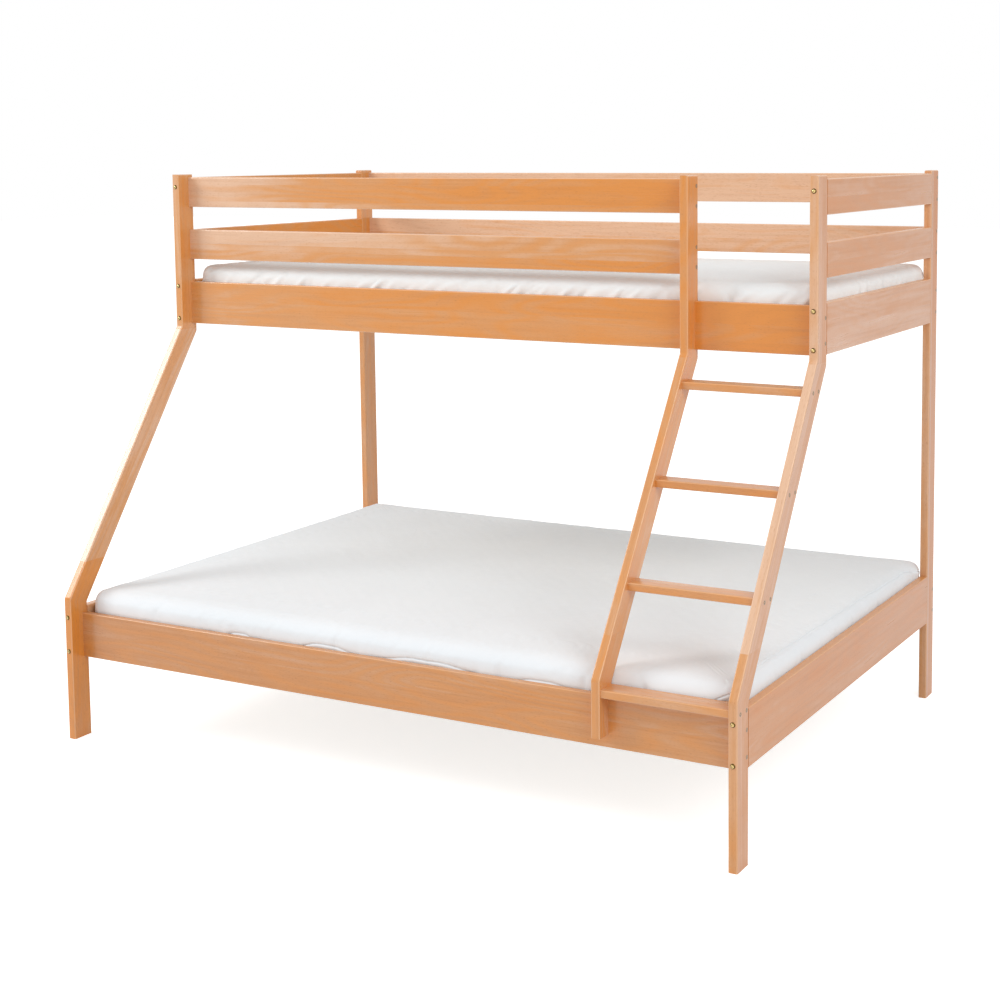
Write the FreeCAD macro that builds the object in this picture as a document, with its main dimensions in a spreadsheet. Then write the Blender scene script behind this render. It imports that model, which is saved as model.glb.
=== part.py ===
import FreeCAD, Part
import math
import os
import Sketcher
from FreeCAD import Placement, Rotation, Vector

# Bunk bed in solid wood: a narrow bed over a wide one. The two front posts and the ladder post
# are sawn with two bends, so the upper bed stands back over the lower one and the ladder slopes
# between them. Millimetres. The origin is on the floor under the middle of the bed, X runs along
# the bed, Y from the ladder side to the back and Z up.

os.makedirs("parts", exist_ok=True)
doc = FreeCAD.newDocument("bunk_bed")

# Driving sizes, all in millimetres apart from the counts
driving = [
    ("overall_length", 2080, "outer face of the left posts to outer face of the right posts"),
    ("upper_depth", 1000, "front of the upper posts to the back of the back posts"),
    ("lower_depth", 1500, "front of the legs to the back of the back posts"),
    ("post_height", 1600, "floor to the top of every post"),
    ("post_thickness", 24, "thickness of posts and end boards"),
    ("post_width", 65, "width of a post, front to back"),
    ("bend_drop", 5, "upper bend of the front posts below the upper rails, on their front edge"),
    ("knee_rise", 49, "lower bend of the front posts above the lower rails, on their front edge"),
    ("bend_round", 16, "rounding of the two bends"),
    ("post_round", 4, "rounding of the edges of a post"),
    ("board_thickness", 20, "thickness of long rails, guard boards and rungs"),
    ("board_round", 3, "rounding of the long edges of a board"),
    ("rail_height", 128, "height of the four long rails"),
    ("lower_rail_top", 359, "floor to the top of the lower rails"),
    ("guard_height", 90, "height of a guard board"),
    ("guard_gap", 69, "open height under each guard board"),
    ("guard_drop", 9, "top guard board below the top of the posts"),
    ("upper_end_height", 132, "height of the end boards beside the upper mattress"),
    ("lower_end_height", 144, "height of the end boards beside the lower mattress"),
    ("end_lift", 2, "bottom of those end boards above the bottom of the rails"),
    ("ladder_width", 334, "clear width between the ladder post and the front right post"),
    ("ladder_foot_height", 265, "floor to the foot of the ladder post"),
    ("step_top", 385, "floor to the top of the bottom step"),
    ("step_depth", 60, "bottom step, front to back"),
    ("top_rung_drop", 74.5, "top of the highest rung below the upper rails"),
    ("rung_depth", 56, "rung, front to back"),
    ("rung_count", 3, "rungs above the bottom step"),
    ("slat_drop", 68, "top of the slats below the top of the rails"),
    ("slat_thickness", 18, "thickness of a slat"),
    ("slat_width", 70, "width of a slat"),
    ("batten_bevel", 2, "bevel of the long edges of slats, ledgers and bearer"),
    ("slat_count", 14, "slats in each bed"),
    ("slat_margin", 30, "first slat from the posts"),
    ("slat_play", 2, "slat end from the rail"),
    ("ledger_size", 25, "width and height of the ledgers that carry the slats"),
    ("bearer_width", 40, "width of the bearer under the middle of the lower slats, and of its leg"),
    ("bearer_height", 32, "height of that bearer"),
    ("housing_depth", 8, "bearer end let into the end board by this much"),
    ("stub_depth", 6, "tenons of rails, guard boards and rungs, let into the posts by this much"),
    ("stub_thickness", 8, "thickness of the tenons of rails and guard boards"),
    ("stub_shoulder", 15, "their shoulder above and below"),
    ("rung_tenon_thickness", 10, "thickness of the tenons of the rungs"),
    ("rung_shoulder", 10, "their shoulder at the front and back"),
    ("tenon_depth", 12, "tenons of the end boards, let into the posts by this much"),
    ("tenon_thickness", 10, "thickness of the tenons of the end boards"),
    ("side_tenon_height", 70, "tenon between the two bolts of an end board"),
    ("middle_tenon_height", 60, "tenon of the middle end board"),
    ("top_tenon_height", 36, "tenon of the top end board, under its bolt"),
    ("top_tenon_drop", 16, "middle of that tenon below the middle of the board"),
    ("leg_tenon_width", 20, "square tenon at the top of the middle leg"),
    ("tenon_play", 0.5, "mortise deeper than its tenon"),
    ("bolt_diameter", 6, "domed bolts through the width of the posts"),
    ("bolt_play", 1, "clearance on diameter of a bolt hole"),
    ("bolt_head", 13, "diameter of the domed head"),
    ("bolt_dome", 4, "height of the domed head"),
    ("bolt_socket", 4, "across the flats of its hexagon socket"),
    ("socket_depth", 2.4, "depth of that socket"),
    ("bolt_spread", 98, "between the two bolts in one end board"),
    ("top_bolt_offset", 16, "bolt of the top end board above the middle of that board"),
    ("nut_diameter", 10, "barrel nuts in the end boards"),
    ("nut_length", 16, "length of a barrel nut"),
    ("nut_inset", 35, "middle of a barrel nut from the end of its board"),
    ("bolt_overrun", 3, "end of a bolt past the middle of its nut"),
    ("mattress_side_play", 9, "mattress narrower than the space between the rails"),
    ("mattress_end_play", 6, "mattress shorter than the space between the end boards"),
    ("mattress_back_gap", 4, "mattress from the back rail"),
    ("mattress_lift", 0.3, "upper mattress above the slats"),
    ("upper_mattress_height", 125, "thickness of the upper mattress at its crown"),
    ("lower_mattress_height", 140, "thickness of the lower mattress at its crown"),
    ("mattress_corner", 44, "corner radius of a mattress seen from above"),
    ("mattress_edge", 36, "rounding of its upper and lower edges"),
    ("mattress_bulge", 5, "middle of its sides stands out by this much"),
    ("mattress_crown", 9, "middle of its top stands above the edge"),
    ("crown_inset", 240, "crown reached this far in from the sides"),
]

sizes = doc.addObject("Spreadsheet::Sheet", "sizes")
for row, (alias, number, note) in enumerate(driving, start=1):
    sizes.set(f"A{row}", alias)
    sizes.set(f"B{row}", str(number))
    sizes.set(f"C{row}", note)
    sizes.setAlias(f"B{row}", alias)
doc.recompute()

# Places and lengths that follow from the driving sizes, as expressions on the sheet
left = "(-sizes.overall_length * 1 / 2)"
front = "(-sizes.lower_depth * 1 / 2)"
back = "(sizes.lower_depth * 1 / 2)"
right_post_x = "(sizes.overall_length * 1 / 2 - sizes.post_thickness)"
inner_length = "(sizes.overall_length - 2 * sizes.post_thickness)"
inner_left = f"({left} + sizes.post_thickness)"
back_post_y = f"({back} - sizes.post_width)"
set_back = "(sizes.lower_depth - sizes.upper_depth)"
upper_front = f"({front} + {set_back})"
upper_rail_top = "(sizes.post_height - sizes.guard_drop - 2 * sizes.guard_height - 2 * sizes.guard_gap)"
middle_guard_bottom = f"({upper_rail_top} + sizes.guard_gap)"
top_guard_bottom = f"({middle_guard_bottom} + sizes.guard_height + sizes.guard_gap)"
lower_front_rail_y = f"({front} + sizes.post_width - sizes.board_thickness)"
upper_front_rail_y = f"({upper_front} + sizes.post_width - sizes.board_thickness)"
back_rail_y = f"({back} - sizes.board_thickness)"
ladder_x = f"({right_post_x} - sizes.ladder_width - sizes.post_thickness)"
guard_length = f"({ladder_x} - {inner_left})"
upper_inner_width = "(sizes.upper_depth - sizes.post_width - sizes.board_thickness)"
lower_inner_width = "(sizes.lower_depth - sizes.post_width - sizes.board_thickness)"
upper_end_length = "(sizes.upper_depth - 2 * sizes.post_width)"
lower_end_length = "(sizes.lower_depth - 2 * sizes.post_width)"

# The slope between the two bends, and how far the back bends lie below the front ones so that
# the sloped stretch keeps the width of the post
lower_rail_bottom = "(sizes.lower_rail_top - sizes.rail_height)"
upper_rail_bottom = f"({upper_rail_top} - sizes.rail_height)"
bend_height = f"({upper_rail_bottom} - sizes.bend_drop)"
knee_height = "(sizes.lower_rail_top + sizes.knee_rise)"
rise = f"({bend_height} - {knee_height})"
mitre = f"(sizes.post_width * tan(atan({set_back} / {rise}) / 2))"
rung_pitch = f"(({upper_rail_bottom} - sizes.top_rung_drop - sizes.step_top) / sizes.rung_count)"


def value(expression):
    return float(sizes.evalExpression(expression))


def count(alias):
    return int(round(value(f"sizes.{alias}")))


def check(thing):
    doc.recompute()
    if "Invalid" in thing.State or "Error" in thing.State:
        raise RuntimeError(f"{thing.Label} failed: {thing.State}")


def newBody(label, place):
    body = doc.addObject("PartDesign::Body", label)
    body.Label = label
    for axis, expression in zip("xyz", place):
        body.setExpression(f"Placement.Base.{axis}", expression)
    return body


def originPart(body, role):
    return next(part for part in body.Origin.OriginFeatures if part.Role == role)


def newSketch(body, role, offset=None):
    # A sketch on one of the body's own planes. YZ_Plane faces +X and XZ_Plane faces -Y.
    sketch = body.newObject("Sketcher::SketchObject", f"{body.Label}_sketch")
    sketch.AttachmentSupport = [(originPart(body, role), "")]
    sketch.MapMode = "FlatFace"
    if offset:
        sketch.setExpression("AttachmentOffset.Base.z", offset)
    return sketch


def pin(sketch, geometry, point, across, up):
    # Ties a point of the sketch to its origin by two expressions.
    for kind, expression in (("DistanceX", across), ("DistanceY", up)):
        index = sketch.addConstraint(
            Sketcher.Constraint(kind, -1, 1, geometry, point, value(expression)))
        if value(expression) != 0:
            sketch.setExpression(f"Constraints[{index}]", expression)


def drawOutline(sketch, corners):
    # A closed outline of straight lines through corners given as pairs of expressions.
    points = [Vector(value(across), value(up), 0) for across, up in corners]
    total = len(points)
    lines = [sketch.addGeometry(Part.LineSegment(points[index], points[(index + 1) % total]), False)
             for index in range(total)]
    for index in range(total):
        sketch.addConstraint(
            Sketcher.Constraint("Coincident", lines[index], 2, lines[(index + 1) % total], 1))
    for index, (across, up) in enumerate(corners):
        pin(sketch, lines[index], 1, across, up)


def rectangle(width, height):
    return [("0", "0"), (width, "0"), (width, height), ("0", height)]


def window(middle, width, low, high):
    # A rectangle centred on one place across, between two heights.
    near = f"({middle} - {width} / 2)"
    far = f"({middle} + {width} / 2)"
    return [(near, low), (far, low), (far, high), (near, high)]


def padSketch(body, sketch, length, reverse=False):
    pad = body.newObject("PartDesign::Pad", f"{body.Label}_pad")
    pad.Profile = sketch
    pad.Reversed = reverse
    pad.setExpression("Length", length)
    check(pad)
    return pad


def roundEdges(body, base, radius, wanted):
    names = [f"Edge{number}" for number, edge in enumerate(base.Shape.Edges, start=1) if wanted(edge)]
    fillet = body.newObject("PartDesign::Fillet", f"{body.Label}_round")
    fillet.Base = (base, names)
    fillet.setExpression("Radius", radius)
    check(fillet)
    return fillet


def bevelEdges(body, base, size, wanted):
    names = [f"Edge{number}" for number, edge in enumerate(base.Shape.Edges, start=1) if wanted(edge)]
    chamfer = body.newObject("PartDesign::Chamfer", f"{body.Label}_bevel")
    chamfer.Base = (base, names)
    chamfer.setExpression("Size", size)
    check(chamfer)
    return chamfer


def alongX(edge):
    return abs(edge.tangentAt(edge.FirstParameter).x) > 0.999


def alongY(edge):
    return abs(edge.tangentAt(edge.FirstParameter).y) > 0.999


def alongZ(edge):
    return abs(edge.tangentAt(edge.FirstParameter).z) > 0.999


def drill(body, role, offset, centres, diameter, depth=None, reverse=False):
    # Round holes from one plane of the body, through it unless a depth is given.
    sketch = newSketch(body, role, offset)
    for across, up in centres:
        middle = Vector(value(across), value(up), 0)
        circle = sketch.addGeometry(Part.Circle(middle, Vector(0, 0, 1), value(diameter) / 2))
        pin(sketch, circle, 3, across, up)
        index = sketch.addConstraint(Sketcher.Constraint("Diameter", circle, value(diameter)))
        sketch.setExpression(f"Constraints[{index}]", diameter)
    doc.recompute()
    before = body.Tip.Shape.Volume
    hole = body.newObject("PartDesign::Hole", f"{body.Label}_hole")
    hole.Profile = sketch
    doc.recompute()
    hole.Reversed = reverse
    hole.DrillPoint = "Flat"
    hole.setExpression("Diameter", diameter)
    if depth:
        hole.DepthType = "Dimension"
        hole.setExpression("Depth", depth)
    else:
        hole.DepthType = "ThroughAll"
    check(hole)
    if before - hole.Shape.Volume < value(diameter) * len(centres):
        raise RuntimeError(f"{hole.Label} cuts nothing")
    return hole


def cutPockets(body, role, offset, outlines, depth, reverse=False):
    sketch = newSketch(body, role, offset)
    for corners in outlines:
        drawOutline(sketch, corners)
    doc.recompute()
    before = body.Tip.Shape.Volume
    pocket = body.newObject("PartDesign::Pocket", f"{body.Label}_pocket")
    pocket.Profile = sketch
    pocket.Reversed = reverse
    pocket.setExpression("Length", depth)
    check(pocket)
    if before - pocket.Shape.Volume < value(depth) * len(outlines):
        raise RuntimeError(f"{pocket.Label} cuts nothing")
    return pocket


def addTenons(body, role, length, corners, depth):
    # The same tenon on both ends of a board that runs along X (YZ_Plane) or along Y (XZ_Plane).
    along_x = role == "YZ_Plane"
    for at_start in (True, False):
        offset = None if at_start else (length if along_x else f"-{length}")
        sketch = newSketch(body, role, offset)
        drawOutline(sketch, corners)
        padSketch(body, sketch, depth, reverse=(at_start == along_x))


def boardAlongX(label, place, length, deep="sizes.board_thickness", high="sizes.rail_height"):
    body = newBody(label, place)
    sketch = newSketch(body, "YZ_Plane")
    drawOutline(sketch, rectangle(deep, high))
    roundEdges(body, padSketch(body, sketch, length), "sizes.board_round", alongX)
    return body


def battenAlongX(label, place, length, deep, high):
    body = newBody(label, place)
    sketch = newSketch(body, "YZ_Plane")
    drawOutline(sketch, rectangle(deep, high))
    bevelEdges(body, padSketch(body, sketch, length), "sizes.batten_bevel", alongX)
    return body


# Heights of the joints, shared by the posts, the boards and the bolts
def pairAround(middle, spread):
    return [f"({middle} + {spread} / 2)", f"({middle} - {spread} / 2)"]


middle_guard_middle = f"({middle_guard_bottom} + sizes.guard_height / 2)"
top_guard_middle = f"({top_guard_bottom} + sizes.guard_height / 2)"
lower_end_bottom = f"({lower_rail_bottom} + sizes.end_lift)"
upper_end_bottom = f"({upper_rail_bottom} + sizes.end_lift)"
lower_end_middle = f"({lower_end_bottom} + sizes.lower_end_height / 2)"
upper_end_middle = f"({upper_end_bottom} + sizes.upper_end_height / 2)"
top_tenon_middle = f"({top_guard_middle} - sizes.top_tenon_drop)"

lower_bolts = pairAround(lower_end_middle, "sizes.bolt_spread")
upper_bolts = (pairAround(upper_end_middle, "sizes.bolt_spread")
               + [f"({top_guard_middle} + sizes.top_bolt_offset)"])
post_middle_x = "(sizes.post_thickness / 2)"
bolt_hole = "(sizes.bolt_diameter + sizes.bolt_play)"
bolt_reach = "(sizes.nut_inset + sizes.bolt_overrun)"
tenon_room = "(sizes.tenon_depth + sizes.tenon_play)"
stub_room = "(sizes.stub_depth + sizes.tenon_play)"
board_depth = "(sizes.post_width - sizes.board_thickness / 2)"


def around(middle, height):
    return f"({middle} - {height} / 2)", f"({middle} + {height} / 2)"


lower_end_mortises = [around(lower_end_middle, "sizes.side_tenon_height")]
upper_end_mortises = [around(upper_end_middle, "sizes.side_tenon_height"),
                      around(middle_guard_middle, "sizes.middle_tenon_height"),
                      around(top_tenon_middle, "sizes.top_tenon_height")]


def stub(depth, bottom, height):
    # Outline of the tenon of a rail or guard board, seen along X.
    return window(depth, "sizes.stub_thickness", f"({bottom} + sizes.stub_shoulder)",
                  f"({bottom} + {height} - sizes.stub_shoulder)")


def guardStubs(depth):
    return [stub(depth, bottom, "sizes.guard_height") for bottom in (middle_guard_bottom, top_guard_bottom)]


# Rungs: their tops rise by one pitch each, and each back bottom edge lies on the back edge of
# the sloped ladder post
def rungTop(number):
    return f"(sizes.step_top + {number} * {rung_pitch})"


def slopeBack(height):
    # Distance behind the front of the legs of the sloped back edge, at one height.
    return f"(sizes.post_width + {set_back} * ({height} - {knee_height} + {mitre}) / {rise})"


def rungDepth(number):
    return "sizes.step_depth" if number == 0 else "sizes.rung_depth"


def rungFront(number):
    if number == 0:
        return "(sizes.post_width - sizes.step_depth)"
    return f"({slopeBack(f'({rungTop(number)} - sizes.board_thickness)')} - sizes.rung_depth)"


def rungStub(number, front_edge, top):
    # Outline of the tenon of a rung, seen along X.
    middle = f"({front_edge} + {rungDepth(number)} / 2)"
    width = f"({rungDepth(number)} - 2 * sizes.rung_shoulder)"
    centre = f"({top} - sizes.board_thickness / 2)"
    return window(middle, width, *around(centre, "sizes.rung_tenon_thickness"))


rung_numbers = range(count("rung_count") + 1)
rung_stubs = [rungStub(number, rungFront(number), rungTop(number)) for number in rung_numbers]


# Back posts: straight boards, rounded all round but at the foot
def cutStubMortises(body, inner_is_far, outlines):
    # Mortises in the face of a post that looks along the bed.
    cutPockets(body, "YZ_Plane", "sizes.post_thickness" if inner_is_far else None, outlines, stub_room,
               reverse=not inner_is_far)


def cutEndMortises(body, depth, heights, from_back):
    # Mortises for the end boards in the front or back edge of a post.
    outlines = [window(post_middle_x, "sizes.tenon_thickness", low, high) for low, high in heights]
    cutPockets(body, "XZ_Plane", depth, outlines, tenon_room, reverse=from_back)


def makeBackPost(label, x, inner_is_far):
    body = newBody(label, (x, back_post_y, "0"))
    sketch = newSketch(body, "XY_Plane")
    drawOutline(sketch, rectangle("sizes.post_thickness", "sizes.post_width"))
    pad = padSketch(body, sketch, "sizes.post_height")
    roundEdges(body, pad, "sizes.post_round", lambda edge: edge.BoundBox.ZMax > value("sizes.post_round"))
    rails = [stub(board_depth, bottom, "sizes.rail_height")
             for bottom in (lower_rail_bottom, upper_rail_bottom)]
    cutStubMortises(body, inner_is_far, rails + guardStubs(board_depth))
    cutEndMortises(body, None, lower_end_mortises + upper_end_mortises, from_back=False)
    bolts = [(post_middle_x, height) for height in lower_bolts + upper_bolts]
    drill(body, "XZ_Plane", None, bolts, bolt_hole)
    return body


# Front posts: one board sawn to a leg, a slope and an upright
def makeBentPost(label, x, foot):
    body = newBody(label, (x, front, "0"))
    sketch = newSketch(body, "YZ_Plane")
    back_edge = f"({set_back} + sizes.post_width)"
    drawOutline(sketch, [
        ("0", foot),
        ("sizes.post_width", foot),
        ("sizes.post_width", f"({knee_height} - {mitre})"),
        (back_edge, f"({bend_height} - {mitre})"),
        (back_edge, "sizes.post_height"),
        (set_back, "sizes.post_height"),
        (set_back, bend_height),
        ("0", knee_height),
    ])
    pad = padSketch(body, sketch, "sizes.post_thickness")
    low = value(knee_height) - value(mitre) - 1
    high = value(bend_height) + 1
    bends = roundEdges(body, pad, "sizes.bend_round",
                       lambda edge: alongX(edge) and low < edge.BoundBox.ZMax < high)
    foot_line = value(foot) + value("sizes.post_round")
    roundEdges(body, bends, "sizes.post_round",
               lambda edge: not alongX(edge) and edge.BoundBox.ZMax > foot_line)
    return body


def addPostJoints(body, inner_is_far, carries_guards):
    upper_depth = f"({set_back} + {board_depth})"
    outlines = [stub(board_depth, lower_rail_bottom, "sizes.rail_height"),
                stub(upper_depth, upper_rail_bottom, "sizes.rail_height")]
    outlines += guardStubs(upper_depth) if carries_guards else rung_stubs
    cutStubMortises(body, inner_is_far, outlines)
    lower_back_edge = "-sizes.post_width"
    upper_back_edge = f"-({set_back} + sizes.post_width)"
    cutEndMortises(body, lower_back_edge, lower_end_mortises, from_back=True)
    cutEndMortises(body, upper_back_edge, upper_end_mortises, from_back=True)
    drill(body, "XZ_Plane", None, [(post_middle_x, height) for height in lower_bolts], bolt_hole)
    drill(body, "XZ_Plane", f"-{set_back}", [(post_middle_x, height) for height in upper_bolts], bolt_hole)


# Ladder post: the same bent board on a short foot, notched at the back around both rails
rail_notch_y = "(sizes.post_width - sizes.board_thickness)"


def makeLadderPost():
    body = makeBentPost("ladder_post", ladder_x, "sizes.ladder_foot_height")
    notches = [
        (rail_notch_y, "sizes.post_width", "sizes.ladder_foot_height", "sizes.lower_rail_top"),
        (f"({set_back} + {rail_notch_y})", f"({set_back} + sizes.post_width)",
         upper_rail_bottom, upper_rail_top),
    ]
    outlines = [[(near, low), (far, low), (far, high), (near, high)] for near, far, low, high in notches]
    cutPockets(body, "YZ_Plane", "sizes.post_thickness", outlines, "sizes.post_thickness")
    cutStubMortises(body, False, guardStubs(f"({set_back} + {board_depth})"))
    cutStubMortises(body, True, rung_stubs)
    return body


# Long rails and guard boards: their ends butt against the posts and have stub tenons
def makeLongBoard(label, y, bottom, length, height):
    body = boardAlongX(label, (inner_left, y, bottom), length, high=height)
    tenon = stub("(sizes.board_thickness / 2)", "0", height)
    addTenons(body, "YZ_Plane", length, tenon, "sizes.stub_depth")
    return body


# End boards: as thick as the posts and flush with them, tenoned and bolted to them
def makeEndBoard(label, x, y, bottom, length, high, bolts, mortise, inner_is_far):
    body = newBody(label, (x, y, bottom))
    sketch = newSketch(body, "XZ_Plane")
    drawOutline(sketch, rectangle("sizes.post_thickness", high))
    roundEdges(body, padSketch(body, sketch, length, reverse=True), "sizes.board_round", alongY)
    low, high_end = mortise
    tenon = window(post_middle_x, "sizes.tenon_thickness",
                   f"({low} - {bottom})", f"({high_end} - {bottom})")
    addTenons(body, "XZ_Plane", length, tenon, "sizes.tenon_depth")
    if bolts:
        holes = [(post_middle_x, f"({height} - {bottom})") for height in bolts]
        reach = f"({bolt_reach} + sizes.bolt_play)"
        drill(body, "XZ_Plane", None, holes, bolt_hole, reach)
        drill(body, "XZ_Plane", f"-{length}", holes, bolt_hole, reach, reverse=True)
        nuts = [(inset, f"({height} - {bottom})") for height in bolts
                for inset in ("sizes.nut_inset", f"({length} - sizes.nut_inset)")]
        drill(body, "YZ_Plane", "sizes.post_thickness" if inner_is_far else None, nuts,
              "sizes.nut_diameter", "(sizes.post_thickness / 2 + sizes.nut_length / 2)",
              reverse=not inner_is_far)
    return body


# Rungs and bottom step, tenoned into the ladder post and the front right post
def makeRung(label, number):
    place = (f"({ladder_x} + sizes.post_thickness)", f"({front} + {rungFront(number)})",
             f"({rungTop(number)} - sizes.board_thickness)")
    body = boardAlongX(label, place, "sizes.ladder_width", deep=rungDepth(number),
                       high="sizes.board_thickness")
    tenon = rungStub(number, "0", "sizes.board_thickness")
    addTenons(body, "YZ_Plane", "sizes.ladder_width", tenon, "sizes.stub_depth")
    return body


# Ledgers: square battens on the inside of the rails, which carry the slats
ledger_drop = "(sizes.slat_drop + sizes.slat_thickness + sizes.ledger_size)"


def makeLedger(label, y, rail_top):
    place = (inner_left, y, f"({rail_top} - {ledger_drop})")
    return battenAlongX(label, place, inner_length, "sizes.ledger_size", "sizes.ledger_size")


# Slats: one slat, repeated along the bed
slat_row = f"({inner_length} - 2 * sizes.slat_margin - sizes.slat_width)"


def makeSlats(label, y, rail_top, inner_width):
    bottom = f"({rail_top} - sizes.slat_drop - sizes.slat_thickness)"
    body = newBody(label, (f"({inner_left} + sizes.slat_margin)", f"({y} + sizes.slat_play)", bottom))
    sketch = newSketch(body, "XZ_Plane")
    drawOutline(sketch, rectangle("sizes.slat_width", "sizes.slat_thickness"))
    pad = padSketch(body, sketch, f"({inner_width} - 2 * sizes.slat_play)", reverse=True)
    bevelEdges(body, pad, "sizes.batten_bevel", alongY)
    pattern = body.newObject("PartDesign::LinearPattern", f"{label}_row")
    pattern.TransformMode = "Whole shape"
    pattern.Direction = (originPart(body, "X_Axis"), [""])
    pattern.setExpression("Length", slat_row)
    pattern.setExpression("Occurrences", "sizes.slat_count")
    body.Tip = pattern
    check(pattern)
    if len(body.Shape.Solids) != count("slat_count"):
        raise RuntimeError(f"{label} holds {len(body.Shape.Solids)} slats")
    return body


# Middle bearer of the wide bed: its ends are let into the end boards, and a leg stands under it
bearer_top = "(sizes.lower_rail_top - sizes.slat_drop - sizes.slat_thickness)"
bearer_bottom = f"({bearer_top} - sizes.bearer_height)"
lower_middle_y = f"({front} + sizes.post_width + {lower_inner_width} / 2)"
bearer_y = f"({lower_middle_y} - sizes.bearer_width / 2)"


leg_seat = window("(sizes.bearer_width / 2)", "sizes.leg_tenon_width",
                  *around("(sizes.bearer_width / 2)", "sizes.leg_tenon_width"))


def makeBearer():
    place = (f"({inner_left} - sizes.housing_depth)", bearer_y, bearer_bottom)
    length = f"({inner_length} + 2 * sizes.housing_depth)"
    body = battenAlongX("centre_bearer", place, length, "sizes.bearer_width", "sizes.bearer_height")
    mortise = window(f"({length} / 2)", "sizes.leg_tenon_width",
                     *around("(sizes.bearer_width / 2)", "sizes.leg_tenon_width"))
    cutPockets(body, "XY_Plane", None, [mortise], tenon_room, reverse=True)
    return body


def cutHousing(board, inner_is_far):
    # The seat of the bearer's end in a lower end board.
    near = f"({bearer_y} - {front} - sizes.post_width)"
    far = f"({near} + sizes.bearer_width)"
    low = f"({bearer_bottom} - {lower_end_bottom})"
    high = f"({bearer_top} - {lower_end_bottom})"
    cutPockets(board, "YZ_Plane", "sizes.post_thickness" if inner_is_far else None,
               [[(near, low), (far, low), (far, high), (near, high)]], "sizes.housing_depth",
               reverse=not inner_is_far)


def makeCentreLeg():
    body = newBody("centre_leg", ("(-sizes.bearer_width / 2)", bearer_y, "0"))
    sketch = newSketch(body, "XY_Plane")
    drawOutline(sketch, rectangle("sizes.bearer_width", "sizes.bearer_width"))
    bevelEdges(body, padSketch(body, sketch, bearer_bottom), "sizes.batten_bevel", alongZ)
    tenon = newSketch(body, "XY_Plane", bearer_bottom)
    drawOutline(tenon, leg_seat)
    padSketch(body, tenon, "sizes.tenon_depth")
    return body


# Bolts and nuts: one form each, set in every place where it is used
to_right = Rotation(Vector(0, 0, 1), Vector(1, 0, 0))
to_back = Rotation(Vector(0, 0, 1), Vector(0, 1, 0))
to_front = Rotation(Vector(0, 0, 1), Vector(0, -1, 0))


def boltForm():
    # Domed bolt with the seat of its head at the origin, pointing up Z, and its hexagon socket.
    shank = value("sizes.bolt_diameter") / 2
    rim = value("sizes.bolt_head") / 2
    dome = value("sizes.bolt_dome")
    length = value(f"sizes.post_width + {bolt_reach}")
    ball = (rim * rim + dome * dome) / (2 * dome)
    cap = Part.makeSphere(ball, Vector(0, 0, ball - dome))
    cap = cap.common(Part.makeCylinder(rim, dome, Vector(0, 0, -dome)))
    depth = value("sizes.socket_depth")
    reach = value("sizes.bolt_socket") / math.sqrt(3)
    corners = [Vector(reach * math.cos(math.radians(60 * k)), reach * math.sin(math.radians(60 * k)), -dome)
               for k in range(7)]
    socket = Part.Face(Part.makePolygon(corners)).extrude(Vector(0, 0, depth))
    return cap.cut(socket).fuse(Part.makeCylinder(shank, length)).removeSplitter()


def nutForm():
    # Barrel nut along Z with its threaded bore across the middle, along Y.
    length = value("sizes.nut_length")
    body = Part.makeCylinder(value("sizes.nut_diameter") / 2, length, Vector(0, 0, -length / 2))
    reach = value("sizes.nut_diameter")
    bore = Part.makeCylinder(value("sizes.bolt_diameter") / 2, 2 * reach,
                             Vector(0, -reach, 0), Vector(0, 1, 0))
    return body.cut(bore)


def makeGroup(label, form, places):
    group = doc.addObject("Part::Feature", label)
    group.Label = label
    solids = []
    for x, y, z, turn in places:
        solid = form.copy()
        solid.Placement = Placement(Vector(x, y, z), turn)
        solids.append(solid)
    group.Shape = Part.makeCompound(solids)
    group.Placement = Placement()
    return group


front_y = value(front)
upper_front_y = value(upper_front)
back_y = value(back)
left_bolt_x = value(f"{left} + {post_middle_x}")
right_bolt_x = value(f"{right_post_x} + {post_middle_x}")


def endBoltPlaces():
    places = []
    for x in (left_bolt_x, right_bolt_x):
        places += [(x, front_y, value(height), to_back) for height in lower_bolts]
        places += [(x, upper_front_y, value(height), to_back) for height in upper_bolts]
        places += [(x, back_y, value(height), to_front) for height in lower_bolts + upper_bolts]
    return places


def nutPlaces():
    inset = value("sizes.post_width + sizes.nut_inset")
    places = []
    for x in (left_bolt_x, right_bolt_x):
        for start, heights in ((front_y, lower_bolts), (upper_front_y, upper_bolts)):
            places += [(x, y, value(height), to_right) for height in heights
                       for y in (start + inset, back_y - inset)]
    return places


ledgers = [
    ("lower_front_ledger", f"({front} + sizes.post_width)", "sizes.lower_rail_top"),
    ("lower_back_ledger", f"({back_rail_y} - sizes.ledger_size)", "sizes.lower_rail_top"),
    ("upper_front_ledger", f"({upper_front} + sizes.post_width)", upper_rail_top),
    ("upper_back_ledger", f"({back_rail_y} - sizes.ledger_size)", upper_rail_top),
]


# Mattresses: a lofted block with rounded corners, full sides and a crowned top
def roundedSection(length, width, inset, height, radius):
    # A rectangle with quarter-circle corners, drawn in by the inset.
    far_x = length / 2 - inset
    far_y = width / 2 - inset
    turn = max(radius - inset, radius / 4)
    edges = []
    corners = ((1, 1), (-1, 1), (-1, -1), (1, -1))
    arcs = []
    for number, (side_x, side_y) in enumerate(corners):
        centre = Vector(side_x * (far_x - turn), side_y * (far_y - turn), height)
        angles = [math.radians(90 * number + share * 90) for share in (0, 0.5, 1)]
        arcs.append([centre + Vector(turn * math.cos(angle), turn * math.sin(angle), 0)
                     for angle in angles])
    for number, (first, middle, last) in enumerate(arcs):
        edges.append(Part.Arc(first, middle, last).toShape())
        edges.append(Part.LineSegment(last, arcs[(number + 1) % len(arcs)][0]).toShape())
    return Part.Wire(edges)


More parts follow.
